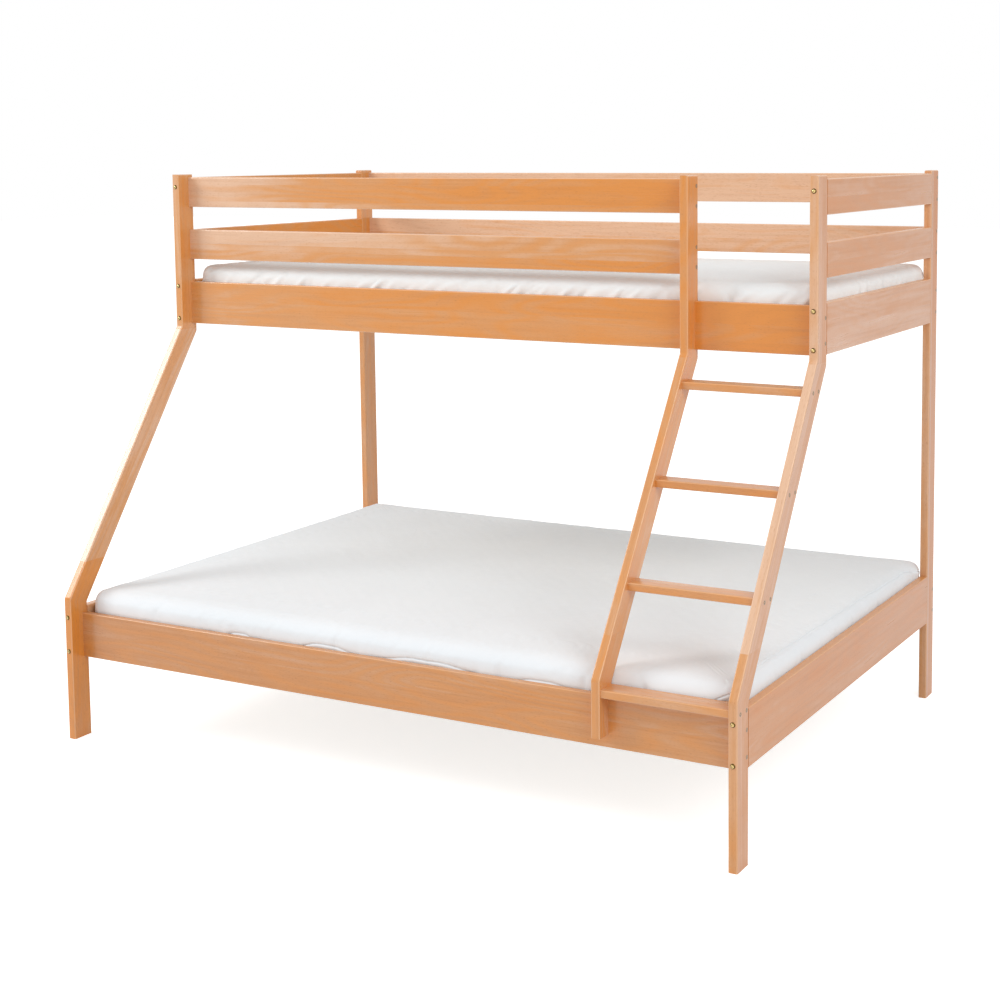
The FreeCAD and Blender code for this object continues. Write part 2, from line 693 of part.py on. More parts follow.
def makeMattress(label, inner_width, height, bottom):
    length = value(f"{inner_length} - sizes.mattress_end_play")
    width = value(f"{inner_width} - sizes.mattress_side_play")
    edge = value("sizes.mattress_edge")
    bulge = value("sizes.mattress_bulge")
    crown = value("sizes.mattress_crown")
    rim = value(height) - crown
    quarter = [math.radians(angle) for angle in (0, 30, 60, 90)]
    lower_edge = [(bulge + edge * (1 - math.sin(angle)), edge * (1 - math.cos(angle)))
                  for angle in quarter]
    upper_edge = [(inset, rim - level) for inset, level in reversed(lower_edge)]
    crown_inset = value("sizes.crown_inset")
    profile = lower_edge + [(0, rim / 2)] + upper_edge
    profile += [((edge + bulge + crown_inset) / 2, rim + crown * 3 / 4), (crown_inset, value(height))]
    sections = [roundedSection(length, width, inset, level, value("sizes.mattress_corner"))
                for inset, level in profile]
    mattress = doc.addObject("Part::Feature", label)
    mattress.Label = label
    mattress.Shape = Part.makeLoft(sections, True, True)
    middle_y = back_y - value("sizes.board_thickness + sizes.mattress_back_gap") - width / 2
    mattress.Placement = Placement(Vector(0, middle_y, value(bottom)), Rotation())
    return mattress


# The bed, from the posts inward
nodes = []
nodes.append(makeBackPost("back_left_post", left, True))
nodes.append(makeBackPost("back_right_post", right_post_x, False))
for label, x, is_left in (("front_left_post", left, True), ("front_right_post", right_post_x, False)):
    post = makeBentPost(label, x, "0")
    addPostJoints(post, inner_is_far=is_left, carries_guards=is_left)
    nodes.append(post)
nodes.append(makeLadderPost())

for level, front_place, bottom in (("lower", lower_front_rail_y, lower_rail_bottom),
                                   ("upper", upper_front_rail_y, upper_rail_bottom)):
    for side, place in (("front", front_place), ("back", back_rail_y)):
        nodes.append(makeLongBoard(f"{level}_{side}_rail", place, bottom, inner_length,
                                   "sizes.rail_height"))
for level, bottom in (("middle", middle_guard_bottom), ("top", top_guard_bottom)):
    for side, place, length in (("front", upper_front_rail_y, guard_length),
                                ("back", back_rail_y, inner_length)):
        nodes.append(makeLongBoard(f"{side}_{level}_guard", place, bottom, length,
                                   "sizes.guard_height"))

upper_board_y = f"({upper_front} + sizes.post_width)"
lower_board_y = f"({front} + sizes.post_width)"
upper_end_boards = [
    ("upper", upper_end_bottom, "sizes.upper_end_height", upper_bolts[:2], upper_end_mortises[0]),
    ("middle", middle_guard_bottom, "sizes.guard_height", [], upper_end_mortises[1]),
    ("top", top_guard_bottom, "sizes.guard_height", upper_bolts[2:], upper_end_mortises[2]),
]
for side, x, is_left in (("left", left, True), ("right", right_post_x, False)):
    lower_board = makeEndBoard(f"{side}_lower_end_board", x, lower_board_y, lower_end_bottom,
                               lower_end_length, "sizes.lower_end_height", lower_bolts,
                               lower_end_mortises[0], is_left)
    cutHousing(lower_board, is_left)
    nodes.append(lower_board)
    for level, bottom, high, bolts, mortise in upper_end_boards:
        nodes.append(makeEndBoard(f"{side}_{level}_end_board", x, upper_board_y, bottom,
                                  upper_end_length, high, bolts, mortise, is_left))

for number in rung_numbers:
    nodes.append(makeRung(f"rung_{number}" if number else "bottom_step", number))

for label, y, rail_top in ledgers:
    nodes.append(makeLedger(label, y, rail_top))
nodes.append(makeSlats("lower_slats", lower_board_y, "sizes.lower_rail_top", lower_inner_width))
nodes.append(makeSlats("upper_slats", upper_board_y, upper_rail_top, upper_inner_width))
nodes.append(makeBearer())
nodes.append(makeCentreLeg())

nodes.append(makeGroup("end_bolts", boltForm(), endBoltPlaces()))
nodes.append(makeGroup("barrel_nuts", nutForm(), nutPlaces()))

nodes.append(makeMattress("lower_mattress", lower_inner_width, "sizes.lower_mattress_height",
                          "sizes.lower_rail_top - sizes.slat_drop"))
nodes.append(makeMattress("upper_mattress", upper_inner_width, "sizes.upper_mattress_height",
                          f"{upper_rail_top} - sizes.slat_drop + sizes.mattress_lift"))

# Every object is checked before anything is written
doc.recompute()
for thing in doc.Objects:
    if "Invalid" in thing.State or "Error" in thing.State:
        raise RuntimeError(f"{thing.Label}: {thing.State}")
for node in nodes:
    if node.Shape.isNull() or not node.Shape.isValid():
        raise RuntimeError(f"{node.Label} has no valid shape")
for node in nodes:
    node.Shape.exportStep(f"parts/{node.Label}.step")
print(len(nodes), "nodes written")
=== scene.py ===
import math
import bpy
import numpy as np
from mathutils import Matrix, Vector


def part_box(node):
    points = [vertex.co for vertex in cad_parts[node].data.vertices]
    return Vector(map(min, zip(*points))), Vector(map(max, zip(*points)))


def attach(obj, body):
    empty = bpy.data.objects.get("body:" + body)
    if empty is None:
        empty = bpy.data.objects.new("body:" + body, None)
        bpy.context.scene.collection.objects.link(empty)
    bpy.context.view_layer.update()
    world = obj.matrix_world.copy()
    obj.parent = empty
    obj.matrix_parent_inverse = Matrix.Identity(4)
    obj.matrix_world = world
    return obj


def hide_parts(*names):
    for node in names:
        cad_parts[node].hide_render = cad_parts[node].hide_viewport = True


# Bunk bed in honey-stained hardwood with two white mattresses. Metres, X along the bed,
# Y to the back, Z up, origin on the floor under the middle of the bed.

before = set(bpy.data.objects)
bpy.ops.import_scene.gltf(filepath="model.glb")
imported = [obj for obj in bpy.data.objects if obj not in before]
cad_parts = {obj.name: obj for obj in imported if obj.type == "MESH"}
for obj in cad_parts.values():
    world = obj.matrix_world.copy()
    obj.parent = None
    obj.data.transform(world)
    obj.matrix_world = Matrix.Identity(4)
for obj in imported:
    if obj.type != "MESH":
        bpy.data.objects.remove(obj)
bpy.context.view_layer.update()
scene = bpy.context.scene
print("frame loaded,", len(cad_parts), "nodes")


# Shader helpers

class Sock:
    # an output socket that sums, products and differences can be written with
    def __init__(self, shader, out):
        self.shader = shader
        self.out = out

    def maths(self, operation, other=0.0, clamp=False):
        return self.shader.add("ShaderNodeMath", {"operation": operation, "use_clamp": clamp},
                               {0: self, 1: other})

    def __add__(self, other):
        return self.maths("ADD", other)

    def __sub__(self, other):
        return self.maths("SUBTRACT", other)

    def __rsub__(self, other):
        return self.shader.add("ShaderNodeMath", {"operation": "SUBTRACT"}, {0: other, 1: self})

    def __mul__(self, other):
        return self.maths("MULTIPLY", other)

    def __truediv__(self, other):
        return self.maths("DIVIDE", other)

    def __gt__(self, other):
        return self.maths("GREATER_THAN", other)

    def __abs__(self):
        return self.maths("ABSOLUTE")

    __radd__ = __add__
    __rmul__ = __mul__

    def clamped(self):
        return self.maths("ADD", clamp=True)

    def between(self, low, high):
        # 0 below low, 1 above high, a smooth step from one to the other
        return self.shader.add("ShaderNodeMapRange", {"interpolation_type": "SMOOTHSTEP"},
                               {"Value": self, "From Min": low, "From Max": high})


class Shader:
    # a node tree and short ways to add nodes to it
    def __init__(self, owner):
        owner.use_nodes = True
        self.owner = owner
        self.tree = owner.node_tree
        self.tree.nodes.clear()

    def add(self, kind, settings=None, sockets=None, output=0):
        node = self.tree.nodes.new(kind)
        for key, setting in (settings or {}).items():
            setattr(node, key, setting)
        for key, content in (sockets or {}).items():
            if isinstance(content, Sock):
                self.tree.links.new(content.out, node.inputs[key])
            else:
                node.inputs[key].default_value = content
        return Sock(self, node.outputs[output]) if len(node.outputs) else None

    def split(self, vector):
        node = self.add("ShaderNodeSeparateXYZ", sockets={0: vector}).out.node
        return [Sock(self, socket) for socket in node.outputs]

    def axes(self, output="Object"):
        coordinates = self.add("ShaderNodeTexCoord").out.node
        return self.split(Sock(self, coordinates.outputs[output]))

    def vector(self, x, y, z):
        return self.add("ShaderNodeCombineXYZ", sockets={0: x, 1: y, 2: z})

    def noise(self, vector, scale=1.0, detail=2.0, roughness=0.5, distortion=0.0):
        return self.add("ShaderNodeTexNoise", {"noise_dimensions": "3D"},
                        {"Vector": vector, "Scale": scale, "Detail": detail,
                         "Roughness": roughness, "Distortion": distortion})

    def mix(self, share, first, second):
        return self.add("ShaderNodeMix", {"data_type": "RGBA"}, {0: share, 6: first, 7: second},
                        output=2)

    def bump(self, height, distance, strength=1.0):
        return self.add("ShaderNodeBump", sockets={"Height": height, "Distance": distance,
                                                   "Strength": strength})

    def surface(self, sockets):
        shader = self.add("ShaderNodeBsdfPrincipled", sockets=sockets)
        self.add("ShaderNodeOutputMaterial", sockets={0: shader})
        return self.owner


def dress(name, material):
    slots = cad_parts[name].data.materials
    slots.clear()
    slots.append(material)


# Wood: boards glued up from strips, stained honey and lacquered. A board's tones run from 0,
# pale, over 0.5, honey, to 1, amber; each strip is its width in millimetres and its tone, from
# the lower or front edge; drift is the change of tone for each metre along the board, fade a
# change of tone between two places, and deepen a share of the dark colour mixed in and its
# change for each metre.
# A bent post says how much its tone changes at its glue joints: at its foot, slope and top.
# The slope's paler tone is partly the joint's own and partly painted light on its upturned faces.

stained = {
    "pale": (0.79, 0.50, 0.325, 1), "honey": (0.71, 0.325, 0.115, 1), "amber": (0.74, 0.27, 0.042, 1),
    # the next line's last colour lightens rounded edges: painted highlight and sanded-through wear
    "dark": (0.43, 0.15, 0.035, 1), "wornAndHighlit": (0.93, 0.62, 0.38, 1),
    # the redder multiplier below is painted shade for the right-hand pieces' wide faces
    "roughness": 0.28, "coat": 0.35, "fleck": 0.26, "shadedSide": (0.85, 0.775, 0.755, 1), "shadedSideCoat": 0.12,
}
planed = {
    "pale": (0.80, 0.64, 0.43, 1), "honey": (0.74, 0.54, 0.32, 1), "amber": (0.68, 0.45, 0.24, 1),
    # the same painted highlight and wear lighten the planed wood's rounded edges
    "dark": (0.42, 0.25, 0.11, 1), "wornAndHighlit": (0.86, 0.74, 0.56, 1),
    "roughness": 0.58, "coat": 0.0, "fleck": 0.22,
}
boards = {
    "front_top_guard": {"strips": ((18, 0.46), (50, 0.86), (22, 0.70)), "drift": 0.40,
                        "fade": (-0.55, -0.92, -0.62)},
    "front_middle_guard": {"strips": ((30, 0.70), (18, 0.42), (42, 0.22)), "drift": 0.32},
    "upper_front_rail": {"strips": ((72, 0.78), (56, 0.88)), "drift": 0.22},
    "lower_front_rail": {"strips": ((66, 0.60), (62, 0.54)), "drift": 0.0, "deepen": (0.24, -0.16)},
    "back_top_guard": {"strips": ((40, -0.06), (50, 0.0)), "drift": 0.03},
    "back_middle_guard": {"strips": ((44, 0.10), (46, 0.0)), "drift": 0.03},
    "upper_back_rail": {"strips": ((70, 0.35), (58, 0.25)), "drift": 0.0},
    "lower_back_rail": {"strips": ((58, 0.40), (70, 0.30)), "drift": 0.0},
    "right_top_end_board": {"strips": ((44, 0.48), (46, 0.38)), "drift": -0.15},
    "right_middle_end_board": {"strips": ((40, 0.50), (50, 0.42)), "drift": -0.15},
    "right_upper_end_board": {"strips": ((60, 0.24), (72, 0.32)), "drift": 0.0},
    "right_lower_end_board": {"strips": ((52, 0.52), (92, 0.60)), "drift": 0.12, "deepen": (0.03, 0.08)},
    "left_top_end_board": {"strips": ((44, 0.68), (46, 0.76)), "drift": 0.0, "deepen": (0.15, 0.0)},
    "left_middle_end_board": {"strips": ((46, 0.90), (44, 0.84)), "drift": 0.2},
    "ladder_post": {"strips": ((24, 0.72), (41, 0.66)), "drift": 0.25, "bent": 0.5},
    "front_left_post": {"strips": ((30, 0.82), (35, 0.80)), "drift": 0.0, "bent": 1.8,
                        "jointAndSlopeLightTones": (0.20, -0.68, -0.25), "deepen": (0.03, -0.16)},
    "back_left_post": {"strips": ((30, 0.62), (35, 0.70)), "drift": 0.0},
    "back_right_post": {"strips": ((18, 0.32), (47, 0.84)), "drift": 0.0, "deepen": (0.17, 0.0)},
    "rung_1": {"strips": ((30, 0.60), (35, 0.52)), "drift": 0.0},
    "rung_2": {"strips": ((28, 0.72), (37, 0.80)), "drift": 0.0, "deepen": (0.20, 0.0)},
    "rung_3": {"strips": ((33, 0.56), (32, 0.64)), "drift": 0.0, "deepen": (0.06, 0.0)},
    "front_right_post": {"strips": ((28, 0.24), (37, 0.34)), "drift": 0.0, "bent": 1.0},
}
# the slope's paler tone is partly painted light, for the light its upturned faces catch
bend = {"low": 0.398, "high": 1.130, "setBack": 0.500, "joint": 0.503, "wideSides": 0.35,
        "jointAndSlopeLightTones": (0.20, -0.24, 0.06)}
# The figure: how fine each noise is along a board and across it, per metre, and how much it
# shifts the tone. The lighter edges, a painted highlight and sanded-through wear, and the end
# grain begin and end at these parts of the normal.
grain = {
    "cloud": (1.7, 7), "slow": (1.5, 9), "streak": (2.2, 85), "fibre": (14, 520), "mottle": (22, 42),
    "fleck": (95, 780), "rays": 520, "archLines": 13.0,
    "cloudTone": 0.70, "streakTone": 0.38, "mottleTone": 0.25, "archTone": 0.22,
    "archDark": 0.12, "shadedSideFigure": 0.6,
    "wornAndHighlitEdge": (0.10, 0.6), "wornAndHighlitShare": 0.35, "boardEnds": (0.8, 0.97), "postEnds": (0.93, 0.99),
    "endShare": 0.6, "relief": 0.0003, "coatRoughness": 0.14, "index": 1.5,
}
slatCount = 14


def toneOf(across, strips, lowEdge):
    # the tone and the number of the strip at this place: each edge passed adds the difference
    tone, number = strips[0][1], 0.0
    edge = lowEdge
    for (width, before), (_, after) in zip(strips[:-1], strips[1:]):
        edge += width / 1000
        passed = across > edge
        tone = passed * (after - before) + tone
        number = passed + number
    return tone, number


def woodMaterial(name, axes, board, seed, look, box, shadedSide=False):
    # Grain runs along the board: every noise is stretched that way. The tone is the strip's own,
    # plus slow clouds, streaks and long arched figure (lines of equal height of a slow noise).
    # A bent post's tone changes at its glue joints, less on its wide sides; the paler slope is
    # partly painted light. A piece at the right-hand end has fainter arches, and painted shade
    # makes it a little redder and darker on its wide faces.
    bent = board.get("bent", 0.0)
    shader = Shader(bpy.data.materials.new(name))
    place = dict(zip("xyz", shader.axes()))
    normal = dict(zip("xyz", shader.axes("Normal")))
    run, across, deep = (place[axis] for axis in axes)
    lowEdge = box[0]["xyz".index(axes[1])]
    middle = (box[0]["xyz".index(axes[0])] + box[1]["xyz".index(axes[0])]) / 2
    if bent:
        rise = ((place["z"] - bend["low"]) / (bend["high"] - bend["low"])).clamped()
        across = place["y"] - rise * bend["setBack"]
    tone, number = toneOf(across, board["strips"], lowEdge)
    along = run - middle
    tone = along * board.get("drift", 0.0) + tone
    if "fade" in board:
        start, end, change = board["fade"]
        tone = (1.0 - run.between(end, start)) * change + tone
    # partly painted light: the slope is paler as if lit from above, less so on the upright wide sides
    if bent:
        above, top = place["z"] > bend["joint"], place["z"] > bend["high"]
        number = (above + top) * 5.0 + number
        foot, slope, upright = board.get("jointAndSlopeLightTones", bend["jointAndSlopeLightTones"])
        change = above * (slope - foot) + top * (upright - slope) + foot
        less = bent * (1 - bend["wideSides"])
        tone = change * (bent - abs(normal["x"]).between(0.3, 0.7) * less) + tone
    shift = number * 3.7 + seed * 2.31

    def stretched(kind, alongShift=0.0, acrossShift=0.0):
        fineAlong, fineAcross = grain[kind]
        return shader.vector(run * fineAlong + alongShift, across * fineAcross + acrossShift,
                             deep * fineAcross)

    cloud = shader.noise(stretched("cloud", shift), detail=2)
    slow = shader.noise(stretched("slow", shift, shift), detail=1)
    arches = abs((slow * grain["archLines"]).maths("FRACT") - 0.5).between(0.06, 0.5)
    streak = shader.noise(stretched("streak", shift), detail=3)
    fibre = shader.noise(stretched("fibre"), detail=2, roughness=0.6)
    mottle = shader.noise(stretched("mottle", shift), detail=2)
    fleck = shader.noise(stretched("fleck"), detail=0).between(0.64, 0.76)
    figure = grain["shadedSideFigure"] if shadedSide else 1.0
    share = (tone + (cloud - 0.5) * grain["cloudTone"] + (streak - 0.5) * grain["streakTone"]
             + (mottle - 0.5) * grain["mottleTone"]
             + (arches - 0.5) * (figure * grain["archTone"])).clamped()
    colour = shader.mix((share * 2.0).clamped(), look["pale"], look["honey"])
    colour = shader.mix((share * 2.0 - 1.0).clamped(), colour, look["amber"])
    dark = ((fibre - 0.5) * 0.34 + fleck * look["fleck"] + (0.5 - arches) * (figure * grain["archDark"])
            + (streak - 0.5).maths("MAXIMUM") * 0.6)
    # a board darkened by a given share of the dark colour, changing along its length
    if "deepen" in board:
        dark = along * board["deepen"][1] + dark + board["deepen"][0]
    dark = dark.clamped()
    colour = shader.mix(dark, colour, look["dark"])
    flat = abs(normal[axes[2]])
    # painted shade: the wide faces of the right-hand pieces are darkened and reddened
    if shadedSide:
        colour = shader.add("ShaderNodeMix", {"data_type": "RGBA", "blend_type": "MULTIPLY"},
                            {0: flat.between(0.5, 0.9), 6: colour, 7: look["shadedSide"]}, output=2)
    # an edge is where the wide face's normal is neither along nor across its axis; there the
    # colour is lighter, a painted highlight and sanded-through wear
    rounding = flat.maths("MINIMUM", (1.0 - flat * flat).maths("SQRT")).between(*grain["wornAndHighlitEdge"])
    colour = shader.mix(rounding * grain["wornAndHighlitShare"], colour, look["wornAndHighlit"])
    ends = abs(normal[axes[0]]).between(*grain["postEnds" if axes[0] == "z" else "boardEnds"])
    rays = shader.noise(shader.vector(*(place[axis] * grain["rays"] for axis in "xyz")), detail=2)
    endGrain = shader.mix((rays * 0.9).clamped(), look["amber"], look["dark"])
    colour = shader.mix(ends * grain["endShare"], colour, endGrain)
    height = fibre * 0.5 + streak * 0.5 - fleck * 0.5
    return shader.surface({
        "Base Color": colour,
        "Roughness": streak * 0.10 + cloud * 0.14 + (look["roughness"] - 0.10),
        "Normal": shader.bump(height, grain["relief"], 0.25),
        "Coat Weight": look["shadedSideCoat"] if shadedSide else look["coat"],
        "Coat Roughness": grain["coatRoughness"], "IOR": grain["index"]})


def dressWood():
    chance = np.random.default_rng(12)
    kinds = (("_guard", "xzy", stained), ("_rail", "xzy", stained), ("_board", "yzx", stained),
             ("_post", "zyx", stained), ("rung_", "xyz", stained), ("bottom_step", "xyz", stained),
             ("_ledger", "xzy", planed), ("centre_bearer", "xzy", planed), ("_slats", "yxz", planed),
             ("centre_leg", "zxy", planed))
    for seed, name in enumerate(sorted(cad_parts), start=1):
        found = [kind for kind in kinds if kind[0] in name]
        if not found:
            continue
        _, axes, look = found[0]
        low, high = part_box(name)
        wide = (high["xyz".index(axes[1])] - low["xyz".index(axes[1])]) * 1000
        # the pieces at the right-hand end get painted shade on their wide faces
        shadedSide = name.startswith("right_") or name.endswith("_right_post")
        tones = 0.25 + 0.4 * chance.random(slatCount)
        if "_slats" in name:
            # every slat is a board of its own, so the tone changes from one slat to the next
            strips = [(wide / (slatCount - 0.5), tone) for tone in tones]
        else:
            strips = ((wide * 0.46, tones[0]), (wide * 0.54, tones[1]))
        board = boards.get(name, {"strips": strips})
        dress(name, woodMaterial(name + "Wood", axes, board, seed, look, (low, high), shadedSide))
    print("wood dressed")


# Metal

# rim is the dark colour of random tarnish and of the painted shade and painted shadow ring
boltBrass = {"colour": (0.72, 0.54, 0.24, 1), "rim": (0.10, 0.06, 0.015, 1), "roughness": 0.26,
             "shadeRingRadii": (0.0030, 0.0051), "headRadius": 0.0065}
nutSteel = {"colour": (0.60, 0.60, 0.61, 1), "rim": (0.30, 0.30, 0.31, 1), "roughness": 0.36}
screwGrey = {"colour": (0.33, 0.26, 0.19, 1), "rim": (0.10, 0.07, 0.045, 1), "roughness": 0.45}
tarnish = {"patches": 420, "grain": 2600, "relief": 0.00005}


def boltLevels():
    # the heights of the bolts' axes: the middles of the groups that the points' heights form
    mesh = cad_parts["end_bolts"].data
    points = np.empty(len(mesh.vertices) * 3, dtype=np.float32)
    mesh.vertices.foreach_get("co", points)
    heights = np.sort(points[2::3])
    groups = np.split(heights, np.flatnonzero(np.diff(heights) > 0.01) + 1)
    return [float(group[0] + group[-1]) / 2 for group in groups]


def metalMaterial(name, look, facing, axisX=None, levels=()):
    # Bright where the surface looks straight out along one axis and darker where it turns away, a
    # painted shade; tarnished in random patches; and on the bolts a painted shadow ring, darker
    # beyond a small radius from the nearest bolt's axis round a bright middle.
    shader = Shader(bpy.data.materials.new(name))
    axes = shader.axes()
    place = shader.vector(*axes)
    straight = abs(shader.axes("Normal")["xyz".index(facing)])
    patch = shader.noise(place, scale=tarnish["patches"], detail=3)
    fine = shader.noise(place, scale=tarnish["grain"], detail=1)
    # painted shade where the normal turns from the facing axis, plus random tarnish patches
    tarnishAndShade = (1.0 - straight.between(0.35, 0.92)) * 0.75 + (patch - 0.5) * 0.6
    if levels:
        aside = abs(axes[0]) - axisX
        rise = abs(axes[2] - levels[0])
        for level in levels[1:]:
            rise = rise.maths("MINIMUM", abs(axes[2] - level))
        radius = (aside * aside + rise * rise).maths("SQRT")
        # painted shadow ring round the bolt's bright middle
        tarnishAndShade = tarnishAndShade + radius.between(*look["shadeRingRadii"]) * 0.95
    return shader.surface({
        "Base Color": shader.mix(tarnishAndShade.clamped(), look["colour"], look["rim"]), "Metallic": 1.0,
        "Roughness": patch * 0.3 + (look["roughness"] - 0.12),
        "Normal": shader.bump(fine, tarnish["relief"], 0.3)})


dressWood()
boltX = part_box("end_bolts")[1][0] - boltBrass["headRadius"]
dress("end_bolts", metalMaterial("boltBrass", boltBrass, "y", boltX, boltLevels()))
dress("barrel_nuts", metalMaterial("nutSteel", nutSteel, "z"))


# Screw heads: countersunk and flush, with a cross recess

screwHead = {"radius": 0.0054, "proud": 0.0005, "recess": 0.0008, "foot": 0.0004, "around": 24,
             "rings": (0.0, 0.18, 0.34, 0.5, 0.66, 0.84, 0.97, 1.0), "armWidth": 0.42, "armReach": 0.62,
             "spread": 0.0325, "guardSpread": 0.026, "rungSpread": 0.018}


def screwPlaces():
    # each place is a point on the wood and the direction along X that the head looks in
    def middle(node):
        low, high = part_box(node)
        return [(a + b) / 2 for a, b in zip(low, high)]

    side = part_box("back_right_post")[1][0]
    ladderLow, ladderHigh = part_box("ladder_post")
    backY = middle("lower_back_rail")[1]
    upperY = middle("upper_front_rail")[1]
    places = []
    for direction in (-1, 1):
        lines = [("lower_front_rail", middle("lower_front_rail")[1]), ("upper_front_rail", upperY)]
        lines += [(node, backY) for node in ("lower_back_rail", "upper_back_rail",
                                             "back_middle_guard", "back_top_guard")]
        for node, y in lines:
            for step in (-screwHead["spread"], screwHead["spread"]):
                places.append((direction * side, y, middle(node)[2] + step, direction))
        for node in ("front_middle_guard", "front_top_guard"):
            for step in (-screwHead["guardSpread"], screwHead["guardSpread"]):
                x = -side if direction < 0 else ladderHigh[0]
                places.append((x, upperY, middle(node)[2] + step, direction))
        for node in ("bottom_step", "rung_1", "rung_2", "rung_3"):
            for step in (-screwHead["rungSpread"], screwHead["rungSpread"]):
                x = ladderLow[0] if direction < 0 else side
                places.append((x, middle(node)[1] + step, middle(node)[2], direction))
    return places


def buildScrewHeads():
    # Height over radius: a low dome, less a cross whose depth falls off from its arms.
    around = screwHead["around"]
    share = np.array(screwHead["rings"])[:, None]
    angle = np.linspace(0, 2 * math.pi, around, endpoint=False)[None, :]
    radius = share * screwHead["radius"]
    height = screwHead["proud"] * np.sqrt(np.clip(1 - share ** 4, 0, 1)) * np.ones_like(angle)
    arms = np.exp(-(np.sin(2 * angle) / screwHead["armWidth"]) ** 2)
    height -= screwHead["recess"] * np.clip(arms * (share < screwHead["armReach"]) + (share < 0.2), 0, 1)
    height = np.maximum(height, -screwHead["foot"])
    height[-1] = -screwHead["foot"]
    index = np.arange(share.size * around).reshape(share.size, around)[1:]
    following = np.roll(index, -1, axis=1)
    quads = np.stack([index[:-1], index[1:], following[1:], following[:-1]], axis=-1).reshape(-1, 4)
    fan = np.stack([np.zeros(around, dtype=int), index[0], following[0]], axis=-1)
    foot = [index[-1][::-1].tolist()]
    points, faces = [], []
    for number, (x, y, z, direction) in enumerate(screwPlaces()):
        turned = angle * direction + number * 0.7
        head = np.stack([x + direction * height, y + radius * np.cos(turned), z + radius * np.sin(turned)],
                        axis=-1)
        start = number * share.size * around
        faces += (quads + start).tolist() + (fan + start).tolist()
        faces += [[corner + start for corner in face] for face in foot]
        points.append(head.reshape(-1, 3))
    # only the first point of each head's innermost ring is used: it is the middle
    points = np.concatenate(points)
    used = np.zeros(len(points), dtype=bool)
    used[[corner for face in faces for corner in face]] = True
    renumber = np.cumsum(used) - 1
    faces = [[int(renumber[corner]) for corner in face] for face in faces]
    mesh = bpy.data.meshes.new("screwHeads")
    mesh.from_pydata(points[used].tolist(), [], faces)
    heads = bpy.data.objects.new("screwHeads", mesh)
    scene.collection.objects.link(heads)
    mesh.materials.append(metalMaterial("screwGrey", screwGrey, "x"))
    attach(heads, "frame")
    print("screw heads:", len(screwPlaces()), "of them,", len(mesh.polygons), "faces")


buildScrewHeads()


# Mattresses: a foam block in a white jersey cover, with a soft hem round it. The hem's line is
# given by places, counted in sides from the front left corner to the right, and by lengths from
# the foot, up the side. hemLifts are places along the front where it rides up: middle, half
# width and height.

lowerMattress = {
    "name": "lowerMattressCover", "node": "lower_mattress", "body": "frame", "cells": (150, 104),
    "cornerRadius": 0.036, "edgeWide": 0.046, "edgeTall": 0.040, "crown": 0.009, "swell": 0.0018,
    "hem": ((0, 0.0775), (0.97, 0.0775), (1.02, 0.154), (1.35, 0.152), (1.93, 0.137), (2.1, 0.08),
            (4, 0.0775)),
    "hemLifts": ((-0.465, 0.036, 0.010), (-0.176, 0.068, 0.014), (0.143, 0.122, 0.014),
                 (0.480, 0.058, 0.009)),
    "hemWave": 0.0022, "step": 0.0014,
    "folds": 90, "endFolds": 1.0, "foldDepth": 0.0013, "foldSlope": 0.15, "foldWidth": 0.008,
    "foldReach": 0.030, "seed": 4,
    "pressure": 3.0, "spare": 0.012, "settled": 0.0035,
    # a corner tuck at the back right: place, half width and how far it stands out
    "tucks": ((1.987, 0.010, 0.0055), (1.966, 0.007, -0.0060)),
}
upperMattress = {
    "name": "upperMattressCover", "node": "upper_mattress", "body": "upper_mattress_body",
    "cells": (150, 66), "cornerRadius": 0.036, "edgeWide": 0.036, "edgeTall": 0.034, "crown": 0.007,
    "swell": 0.0018, "hem": ((0, 0.062), (4, 0.062)), "hemLifts": (), "hemWave": 0.004, "step": 0.0012,
    "folds": 170, "endFolds": 0.4, "foldDepth": 0.0040, "foldSlope": 1.1, "foldWidth": 0.0075,
    "foldReach": 0.042, "seed": 9,
    "pressure": 3.0, "spare": 0.022, "settled": 0.0035, "tucks": (),
}
covering = {"arcCells": 6, "play": 0.0035, "foot": 0.026, "crownReach": 0.26, "hollow": 0.0011,
            "rowsBelow": 18, "rowsAbove": 18,
            # the hem's roll: places across it, from its line, and how far it stands proud in steps
            "hemRoll": ((-0.013, 0.3), (-0.009, 1.3), (-0.005, 1.7), (-0.0022, 1.3), (-0.0006, -1.0),
                        (0.0012, 0.2), (0.0036, 1.0)),
            # the cloth: frames, rows up its side, its corners, and how firmly foot, side and top
            # are held by the foam
            "frames": 16, "rowsSettling": 15, "clothCorner": 0.044, "holds": (1.0, 0.10, 0.75)}


def columnsRound(cells):
    # For every column: the side it is on, how far along it (-1 to 1) and its angle in the corner.
    # The columns start in the middle of the front left corner and go round to the right.
    sides, along, angles = [], [], []
    arc = covering["arcCells"]
    for side in range(4):
        count = cells[side % 2] * 2
        straight = count - 2 * arc
        sides.append(np.full(count, side))
        along.append(np.concatenate([np.full(arc, -1.0), np.linspace(-1, 1, straight + 1),
                                     np.full(arc - 1, 1.0)]))
        angles.append(np.concatenate([np.linspace(-45, 0, arc, endpoint=False), np.zeros(straight + 1),
                                      np.linspace(0, 45, arc, endpoint=False)[1:]]))
    return np.concatenate(sides), np.concatenate(along), np.radians(np.concatenate(angles))


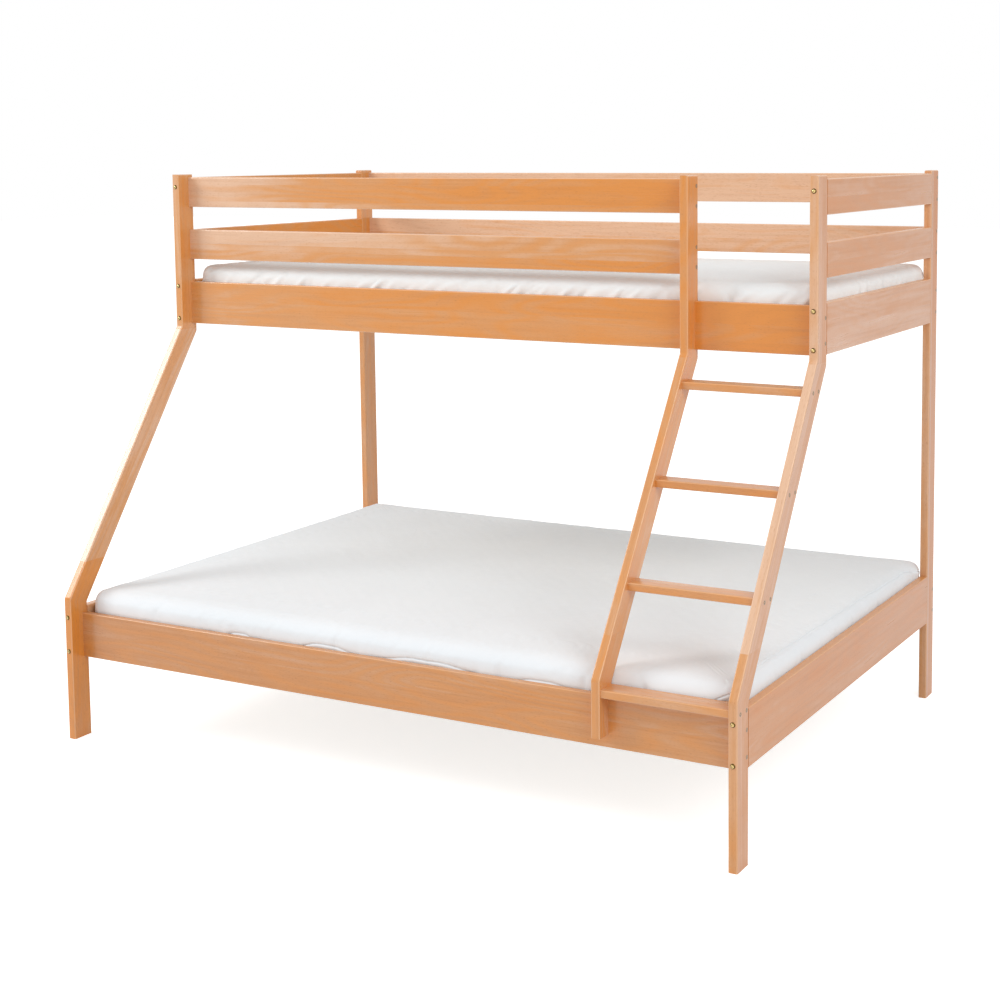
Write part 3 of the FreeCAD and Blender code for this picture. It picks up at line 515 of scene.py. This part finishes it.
def planPoints(half, radius, inset, columns):
    # Points of the rounded rectangle drawn in by the inset: a corner's centre plus its radius
    # turned by the column's angle.
    side, along, angle = columns
    turn = np.maximum(radius - inset, radius * 0.45)
    halfAlong = np.where(side % 2 == 0, half[0], half[1])
    halfOut = np.where(side % 2 == 0, half[1], half[0])
    forward = along * (halfAlong - inset - turn) + turn * np.sin(angle)
    outward = halfOut - inset - turn + turn * np.cos(angle)
    headingX, headingY = np.cos(side * math.pi / 2), np.sin(side * math.pi / 2)
    return forward * headingX + outward * headingY, forward * headingY - outward * headingX


def sectionCurve(cover, tall):
    # The side's section from the foot to the top: a small quarter circle, a side that swells by
    # half a sine, and a wide quarter of a superellipse. Given as insets and heights over length.
    foot, power = covering["foot"], 0.9
    turn = np.linspace(0, math.pi / 2, 12)
    insets = np.concatenate([foot * (1 - np.sin(turn)),
                             -cover["swell"] * np.sin(np.linspace(0, math.pi, 12)[1:-1]),
                             cover["edgeWide"] * (1 - np.cos(turn) ** power)])
    heights = np.concatenate([foot * (1 - np.cos(turn)),
                              np.linspace(foot, tall - cover["edgeTall"], 12)[1:-1],
                              tall - cover["edgeTall"] + cover["edgeTall"] * np.sin(turn) ** power])
    length = np.concatenate([[0], np.cumsum(np.hypot(np.diff(insets), np.diff(heights)))])
    return length, insets, heights


def waves(place, whole, amplitude, longest, shortest, chance, count=9):
    # a sum of sines that close round the mattress, the short ones lower than the long ones
    total = np.zeros_like(place)
    for _ in range(count):
        wave = longest * (shortest / longest) ** chance.random()
        turns = max(1, round(whole / wave))
        total += (wave / longest) ** 0.5 * np.sin(2 * math.pi * (turns * place / whole + chance.random()))
    return amplitude * total / math.sqrt(count)


def hemLengths(cover, x, y, columns, place, whole, chance):
    # the hem's line between its given places, smoothed, with its lifts and waves
    side, along, _ = columns
    counted = side + (along + 1) / 2
    marks, lengths = zip(*cover["hem"])
    base = np.interp(counted, marks, lengths)
    kernel = np.hanning(15)
    base = np.convolve(np.concatenate([base[-7:], base, base[:7]]), kernel / kernel.sum(), mode="valid")
    for middle, halfWidth, height in cover["hemLifts"]:
        base = base + (side == 0) * height * np.exp(-((x - middle) / halfWidth) ** 4)
    return base + waves(place, whole, cover["hemWave"], 0.9, 0.09, chance, 12)


def topHeight(x, y, half, cover, tall):
    # The crown is a product of two parabolas that level off in from the edge; long soft hollows
    # from a few sines are laid over it.
    rise = np.ones_like(x)
    for place, size in ((x, half[0]), (y, half[1])):
        depth = np.clip((size - np.abs(place) - cover["edgeWide"]) / covering["crownReach"], 0, 1)
        rise = rise * (1 - (1 - depth) ** 2)
    chance = np.random.default_rng(cover["seed"])
    hollow = np.zeros_like(x)
    for _ in range(9):
        heading, wave = chance.random() * math.pi, 0.28 + 0.6 * chance.random()
        hollow += wave * np.sin(2 * math.pi * ((x * math.cos(heading) + y * math.sin(heading)) / wave
                                               + chance.random()))
    return tall + rise * (cover["crown"] + covering["hollow"] * hollow)


def gridPatch(edge, cells, heightOf):
    # A Coons patch: the two ruled surfaces between opposite edges, less the one of the corners.
    nx, ny = cells
    front, right = edge[:nx + 1], edge[nx:nx + ny + 1]
    back = edge[nx + ny:2 * nx + ny + 1][::-1]
    left = np.concatenate([edge[2 * nx + ny:], edge[:1]])[::-1]
    u = np.linspace(0, 1, nx + 1)[:, None, None]
    v = np.linspace(0, 1, ny + 1)[None, :, None]
    corners = ((1 - u) * (1 - v) * front[0] + u * (1 - v) * front[-1]
               + (1 - u) * v * back[0] + u * v * back[-1])
    patch = (front[:, None] * (1 - v) + back[:, None] * v + left[None, :] * (1 - u)
             + right[None, :] * u - corners)
    patch[..., 2] = heightOf(patch[..., 0], patch[..., 1])
    return patch


def foldsAt(cover, run, hem, place, counted, whole, chance):
    # folds: narrow ridges and furrows that start at the hem and fade out upward, calmer at the
    # right end
    fold = np.zeros_like(run)
    for _ in range(cover["folds"]):
        at = chance.random() * whole
        slope = cover["foldSlope"] * (0.6 + 0.8 * chance.random())
        wide = cover["foldWidth"] * (0.7 + 0.9 * chance.random())
        reach = cover["foldReach"] * (0.5 + chance.random())
        size = cover["foldDepth"] * (0.35 + chance.random()) * (1 if chance.random() < 0.6 else -1)
        away = (place - at - slope * (run - hem) + whole / 2) % whole - whole / 2
        fold += size * np.exp(-(away / wide) ** 2) * np.exp(-((run - hem - 0.006) / reach) ** 2)
    fold *= np.interp(counted, (0.98, 1.08, 1.92, 2.02), (1, cover["endFolds"], cover["endFolds"], 1))
    for middle, wide, size in cover["tucks"]:
        away = place - np.interp(middle, counted, place)
        fold += size * np.exp(-(away / wide) ** 2) * np.exp(-((run - hem + 0.012) / 0.028) ** 2)
    return fold * np.clip((run - hem * 0.3) / (hem * 0.7), 0, 1)


def mattressPoints(cover):
    # rings from the bottom patch, round the side and onto the top, and the two patches
    low, high = (np.array(corner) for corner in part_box(cover["node"]))
    origin = np.array([(low[0] + high[0]) / 2, (low[1] + high[1]) / 2, low[2]])
    half = (high - low)[:2] / 2 - covering["play"]
    tall = high[2] - low[2] - cover["crown"] - 0.001
    columns = columnsRound(cover["cells"])
    radius = cover["cornerRadius"]
    x, y = planPoints(half, radius, 0.0, columns)
    stride = np.hypot(np.roll(x, -1) - x, np.roll(y, -1) - y)
    whole = stride.sum()
    place = np.concatenate([[0], np.cumsum(stride)[:-1]])
    chance = np.random.default_rng(cover["seed"])
    length, insets, heights = sectionCurve(cover, tall)
    hem = hemLengths(cover, x, y, columns, place, whole, chance)
    offsets, lifts = (np.array(column)[:, None] for column in zip(*covering["hemRoll"]))
    below = np.linspace(0, 1, covering["rowsBelow"], endpoint=False)[:, None] * (hem + offsets[0])
    above = hem + offsets[-1] + (np.linspace(0, 1, covering["rowsAbove"] + 1)[1:, None]
                                 * (length[-1] - hem - offsets[-1]))
    run = np.concatenate([below, hem + offsets, above])
    fade = np.linspace(lifts[-1], 0.35, len(above))
    lift = np.concatenate([np.zeros((len(below), 1)), lifts, fade])
    inset, height = np.interp(run, length, insets), np.interp(run, length, heights)
    counted = columns[0] + (columns[1] + 1) / 2
    push = cover["step"] * lift + foldsAt(cover, run, hem, place, counted, whole, chance)
    x, y = planPoints(half, radius, inset - push, columns)
    side = np.stack([x, y, height], axis=-1)

    def levelOf(x, y):
        return np.zeros_like(x)

    def heightOf(x, y):
        return topHeight(x, y, half, cover, tall)

    def ringsAt(depths, shape, corner=radius):
        found = []
        for depth in depths:
            x, y = planPoints(half, corner, depth, columns)
            found.append(np.stack([x, y, shape(x, y)], axis=-1))
        return np.stack(found)

    last = cover["edgeWide"] - cover["step"] * 0.35
    bottomRings = ringsAt((0.105, 0.082, 0.062, 0.043), levelOf)
    topRings = ringsAt(last + np.array([0.007, 0.015, 0.024, 0.034, 0.045, 0.057, 0.070]), heightOf)
    rings = np.concatenate([bottomRings, side, topRings])
    patches = [gridPatch(ringsAt([depth], shape)[0, ::2], cover["cells"], shape)
               for depth, shape in ((0.118, levelOf), (last + 0.084, heightOf))]
    profile = np.concatenate([np.full((len(bottomRings), len(place)), -0.5), run - hem,
                              np.full((len(topRings), len(place)), 0.5)])
    plain = mattressProxy(half, columns, (length, insets, heights), ringsAt, (levelOf, heightOf), cover)
    form = [part + origin for part in (rings, *patches)]
    return form, [part + origin for part in plain], (place, whole, profile)


def mattressProxy(half, columns, section, ringsAt, shapes, cover):
    # the same form without hem and folds, with wider corners, half the columns and even rows
    length, insets, heights = section
    radius = covering["clothCorner"]
    run = np.linspace(0, length[-1], covering["rowsSettling"])
    side = []
    for at in run:
        x, y = planPoints(half, radius, np.interp(at, length, insets), columns)
        side.append(np.stack([x, y, np.full_like(x, np.interp(at, length, heights))], axis=-1))
    inward = cover["edgeWide"] + np.array([0.016, 0.036, 0.058])
    rings = np.concatenate([ringsAt((0.085, 0.05), shapes[0], radius), np.stack(side),
                            ringsAt(inward, shapes[1], radius)])[:, ::2]
    cells = [count // 2 for count in cover["cells"]]
    edges = [ringsAt([depth], shape, radius)[0, ::4]
             for depth, shape in zip((0.118, cover["edgeWide"] + 0.084), shapes)]
    return rings, gridPatch(edges[0], cells, shapes[0]), gridPatch(edges[1], cells, shapes[1])


def mattressFaces(rings, cells):
    # quads between the rings, and three triangles where two columns meet one edge of a patch
    rows, columns = rings.shape[:2]
    nx, ny = cells
    index = np.arange(rows * columns).reshape(rows, columns)
    following = np.roll(index, -1, axis=1)
    faces = np.stack([index[:-1], following[:-1], following[1:], index[1:]], axis=-1)
    faces = faces.reshape(-1, 4).tolist()
    grid = np.arange((nx + 1) * (ny + 1)).reshape(nx + 1, ny + 1)
    edge = np.concatenate([grid[:-1, 0], grid[-1, :-1], grid[:0:-1, -1], grid[0, :0:-1]])
    for number, ring in ((0, 0), (1, rows - 1)):
        start = rows * columns + number * grid.size
        first, second, third = index[ring, 0::2], index[ring, 1::2], np.roll(index[ring], -2)[0::2]
        patchOn, patchNext = edge + start, np.roll(edge, -1) + start
        stitched = np.concatenate([np.stack(corners, axis=-1) for corners in (
            (first, second, patchOn), (second, third, patchNext), (second, patchNext, patchOn))])
        quads = np.stack([grid[:-1, :-1], grid[1:, :-1], grid[1:, 1:], grid[:-1, 1:]], axis=-1)
        quads = quads.reshape(-1, 4)
        if number == 0:
            stitched, quads = stitched[:, ::-1], quads[:, ::-1]
        faces += stitched.tolist() + (quads + start).tolist()
    return faces


def mapCover(mesh, place, whole, profile):
    # the cover's own map: distance round the mattress, and length above the hem
    loops = np.empty(len(mesh.loops), dtype=np.int32)
    mesh.loops.foreach_get("vertex_index", loops)
    starts = np.empty(len(mesh.polygons), dtype=np.int32)
    mesh.polygons.foreach_get("loop_start", starts)
    rest = len(mesh.vertices) - profile.size
    across = np.concatenate([np.tile(place, len(profile)), np.zeros(rest)])[loops]
    above = np.concatenate([profile.ravel(), np.full(rest, 0.5)])[loops]
    widest = np.repeat(np.maximum.reduceat(across, starts), np.diff(np.append(starts, len(loops))))
    across = across + (widest - across > whole / 2) * whole
    chart = mesh.uv_layers.new(name="coverMap")
    chart.data.foreach_set("uv", np.stack([across, above], axis=-1).astype(np.float32).ravel())


def coverObject(name, rings, bottom, top, cells):
    points = np.concatenate([rings.reshape(-1, 3), bottom.reshape(-1, 3), top.reshape(-1, 3)])
    mesh = bpy.data.meshes.new(name)
    mesh.from_pydata(points.tolist(), [], mattressFaces(rings, cells))
    mesh.update()
    mesh.polygons.foreach_set("use_smooth", np.ones(len(mesh.polygons), dtype=bool))
    item = bpy.data.objects.new(name, mesh)
    scene.collection.objects.link(item)
    return item


def pointsOf(mesh):
    points = np.empty(len(mesh.vertices) * 3, dtype=np.float32)
    mesh.vertices.foreach_get("co", points)
    return points.reshape(-1, 3).astype(float)


def evaluated(item):
    return item.evaluated_get(bpy.context.evaluated_depsgraph_get()).data


def settleCover(cover, item, plain):
    # The plain form is cloth a little too large for the foam, under pressure, held fast at the
    # foot and softly by the foam elsewhere. How far a point moves is capped: d times cap over
    # the root of d squared plus cap squared. The finished cover follows it by Surface Deform.
    cells = [count // 2 for count in cover["cells"]]
    cloth = coverObject("settlingCloth", *plain, cells)
    start = pointsOf(cloth.data)
    holds = cloth.vertex_groups.new(name="holds")
    high = start[:, 2] - start[:, 2].min()
    zones = (high < covering["foot"] * 0.5, high < high.max() - cover["edgeTall"] * 0.35)
    bands = (zones[0], ~zones[0] & zones[1], ~zones[1])
    for band, hold in zip(bands, covering["holds"]):
        holds.add(np.flatnonzero(band).tolist(), hold, "REPLACE")
    fabric = cloth.modifiers.new("cloth", "CLOTH")
    settings = fabric.settings
    settings.quality = 5
    settings.mass = 0.25
    settings.tension_stiffness = settings.compression_stiffness = 12
    settings.shear_stiffness = 4
    settings.bending_stiffness = 0.02
    settings.vertex_group_mass = "holds"
    settings.pin_stiffness = 1.0
    settings.use_pressure = True
    settings.uniform_pressure_force = cover["pressure"]
    settings.shrink_min = settings.shrink_max = -cover["spare"]
    settings.effector_weights.gravity = 0
    for number in range(1, covering["frames"] + 1):
        scene.frame_set(number)
    moved = pointsOf(evaluated(cloth)) - start
    cloth.modifiers.clear()
    scene.frame_set(1)
    far = np.linalg.norm(moved, axis=1, keepdims=True)
    cap = cover["settled"]
    print("cloth moved", round(float(far.max()) * 1000, 1), "mm at most, capped at", cap * 1000, "mm")
    follow = item.modifiers.new("follow", "SURFACE_DEFORM")
    follow.target = cloth
    with bpy.context.temp_override(object=item, active_object=item):
        bpy.ops.object.surfacedeform_bind(modifier=follow.name)
    if not follow.is_bound:
        raise RuntimeError("the cover could not be bound to its cloth")
    cloth.data.vertices.foreach_set("co", (start + moved * cap / np.sqrt(far ** 2 + cap ** 2)).ravel())
    cloth.data.update()
    bpy.context.view_layer.update()
    settled = pointsOf(evaluated(item))
    item.modifiers.clear()
    item.data.vertices.foreach_set("co", settled.ravel())
    item.data.update()
    bpy.data.objects.remove(cloth)


def buildMattress(cover, material):
    form, plain, chart = mattressPoints(cover)
    item = coverObject(cover["name"], *form, cover["cells"])
    mesh = item.data
    mapCover(mesh, *chart)
    settleCover(cover, item, plain)
    mesh.materials.append(material)
    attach(item, cover["body"])
    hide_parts(cover["node"])
    print(cover["name"], len(mesh.polygons), "faces")


# Both covers are tinted blue, a painted counter to the warm light bounced off the wood, and the upper one
# is painted lighter, making up for the shade of the guards and rail in front.
jersey = {"lowerLight": (0.870, 0.905, 0.935, 1), "lowerShade": (0.825, 0.86, 0.89, 1),
          "upperLight": (0.910, 0.948, 0.960, 1), "upperShade": (0.880, 0.918, 0.930, 1), "rib": 2600.0,
          "lowerSlant": 0.0, "upperSlant": 2.2}


def jerseyMaterial(name, light, shade, slant):
    # Fine knit rows, soft clouds of lighter and darker white, faint creases that run with the
    # cloth and are painted darker along their lines, a painted shade, and a row of stitches above
    # the hem in a seam band that is painted darker, a painted shade in its groove. slant is how far
    # along the creases by the hem lean for each length up the side.
    shader = Shader(bpy.data.materials.new(name))
    x, y, z = shader.axes()
    around, above, _ = shader.split(shader.add("ShaderNodeUVMap", {"uv_map": "coverMap"}))
    place = shader.vector(x, y, z)
    cloud = shader.noise(place, scale=2.6, detail=3)
    crease = shader.noise(place, scale=7.5, detail=4, roughness=0.6, distortion=0.6)
    ridge = 1.0 - abs(crease - 0.5).between(0.0, 0.09)
    ripple = shader.noise(shader.vector((around - above * slant) * 95, above * 9, 0.0), detail=2)
    low = 1.0 - above.between(0.004, 0.060)
    knit = (x * jersey["rib"]).maths("SINE") * (y * jersey["rib"] + z * jersey["rib"]).maths("SINE")
    seam = 1.0 - abs(above - 0.0075).between(0.0003, 0.0016)
    stitch = seam * ((around / 0.0042).maths("FRACT") > 0.35)
    # painted shade: darker along the crease lines and in the seam's groove
    tone = (cloud.between(0.25, 0.75) * 0.55 + ridge * 0.12 + seam * 0.35).clamped()
    height = ridge * 0.35 + ripple * low * 0.9 + knit * 0.035 + stitch * 0.3 - seam * 0.35
    return shader.surface({
        "Base Color": shader.mix(tone, light, shade),
        "Roughness": cloud * 0.1 + 0.82, "Specular IOR Level": 0.25,
        "Sheen Weight": 0.2, "Sheen Roughness": 0.5,
        "Normal": shader.bump(height, 0.0016, 0.5)})


buildMattress(lowerMattress, jerseyMaterial("lowerJersey", jersey["lowerLight"], jersey["lowerShade"],
                                            jersey["lowerSlant"]))
buildMattress(upperMattress, jerseyMaterial("upperJersey", jersey["upperLight"], jersey["upperShade"],
                                            jersey["upperSlant"]))


# Room: white floor and backdrop, soft studio light

studio = {
    "cameraAt": (2.57182, -4.28246, 1.66993), "yaw": 0.4817, "pitch": -0.0992, "roll": -0.0063,
    "lens": 62.179, "shiftX": -0.1130, "shiftY": -0.1795,
    "worldLevel": 0.66, "floorShade": 0.78, "floorGlow": 0.70, "floorReach": 30, "aimHeight": 0.8,
}
white = (1, 1, 1, 1)
lamps = {
    "keyLamp": {"at": (-4.8, -2.9, 4.1), "size": 2.2, "power": 152},
    "fillLamp": {"at": (4.6, -2.5, 4.1), "size": 3.0, "power": 106},
}


def buildCamera():
    yaw, pitch, roll = studio["yaw"], studio["pitch"], studio["roll"]
    ahead = Vector((-math.sin(yaw) * math.cos(pitch), math.cos(yaw) * math.cos(pitch), math.sin(pitch)))
    right = ahead.cross(Vector((0, 0, 1))).normalized()
    up = right.cross(ahead)
    rolledRight = right * math.cos(roll) + up * math.sin(roll)
    rolledUp = up * math.cos(roll) - right * math.sin(roll)
    data = bpy.data.cameras.new("camera")
    data.sensor_width = 36
    data.lens = studio["lens"]
    data.shift_x = studio["shiftX"]
    data.shift_y = studio["shiftY"]
    data.clip_end = 200
    camera = bpy.data.objects.new("camera", data)
    turn = Matrix((rolledRight, rolledUp, -ahead)).transposed().to_4x4()
    camera.matrix_world = Matrix.Translation(studio["cameraAt"]) @ turn
    scene.collection.objects.link(camera)
    scene.camera = camera


def seenDirectly(shader):
    # 1 for rays from the camera and for what gloss and glass show
    path = shader.add("ShaderNodeLightPath").out.node
    camera, glossy, through = (Sock(shader, path.outputs[name]) for name in
                               ("Is Camera Ray", "Is Glossy Ray", "Is Transmission Ray"))
    return (camera + glossy + through).clamped()


def buildFloor():
    reach = studio["floorReach"]
    mesh = bpy.data.meshes.new("floor")
    mesh.from_pydata([(-reach, -reach, 0), (reach, -reach, 0), (reach, reach, 0), (-reach, reach, 0)],
                     [], [(0, 1, 2, 3)])
    floor = bpy.data.objects.new("floor", mesh)
    scene.collection.objects.link(floor)
    shader = Shader(bpy.data.materials.new("floorWhite"))
    shade = studio["floorShade"]
    bounce = shader.add("ShaderNodeBsdfDiffuse", sockets={"Color": (shade, shade, shade, 1)})
    glow = shader.add("ShaderNodeEmission", sockets={"Color": white, "Strength": studio["floorGlow"]})
    lit = shader.add("ShaderNodeAddShader", sockets={0: bounce, 1: glow})
    both = shader.add("ShaderNodeMixShader", sockets={0: seenDirectly(shader), 1: bounce, 2: lit})
    # from below the camera looks through the floor at the bed's underside
    fromBelow = (shader.add("ShaderNodeNewGeometry", output="Backfacing")
                 * shader.add("ShaderNodeLightPath", output="Is Camera Ray"))
    clear = shader.add("ShaderNodeBsdfTransparent")
    shown = shader.add("ShaderNodeMixShader", sockets={0: fromBelow, 1: both, 2: clear})
    shader.add("ShaderNodeOutputMaterial", sockets={0: shown})
    mesh.materials.append(shader.owner)


def buildLight():
    world = bpy.data.worlds.new("studioWorld")
    scene.world = world
    shader = Shader(world)
    soft = shader.add("ShaderNodeBackground", sockets={"Color": white, "Strength": studio["worldLevel"]})
    plain = shader.add("ShaderNodeBackground", sockets={"Color": white, "Strength": 1.0})
    both = shader.add("ShaderNodeMixShader", sockets={0: seenDirectly(shader), 1: soft, 2: plain})
    shader.add("ShaderNodeOutputWorld", sockets={0: both})
    for name, lamp in lamps.items():
        data = bpy.data.lights.new(name, "AREA")
        data.shape = "SQUARE"
        data.size = lamp["size"]
        data.energy = lamp["power"]
        item = bpy.data.objects.new(name, data)
        item.location = lamp["at"]
        towards = Vector((0, 0, studio["aimHeight"])) - Vector(lamp["at"])
        item.rotation_euler = towards.to_track_quat("-Z", "Y").to_euler()
        scene.collection.objects.link(item)


buildCamera()
buildFloor()
buildLight()
scene.view_settings.view_transform = "Standard"
print("camera, floor and light set")
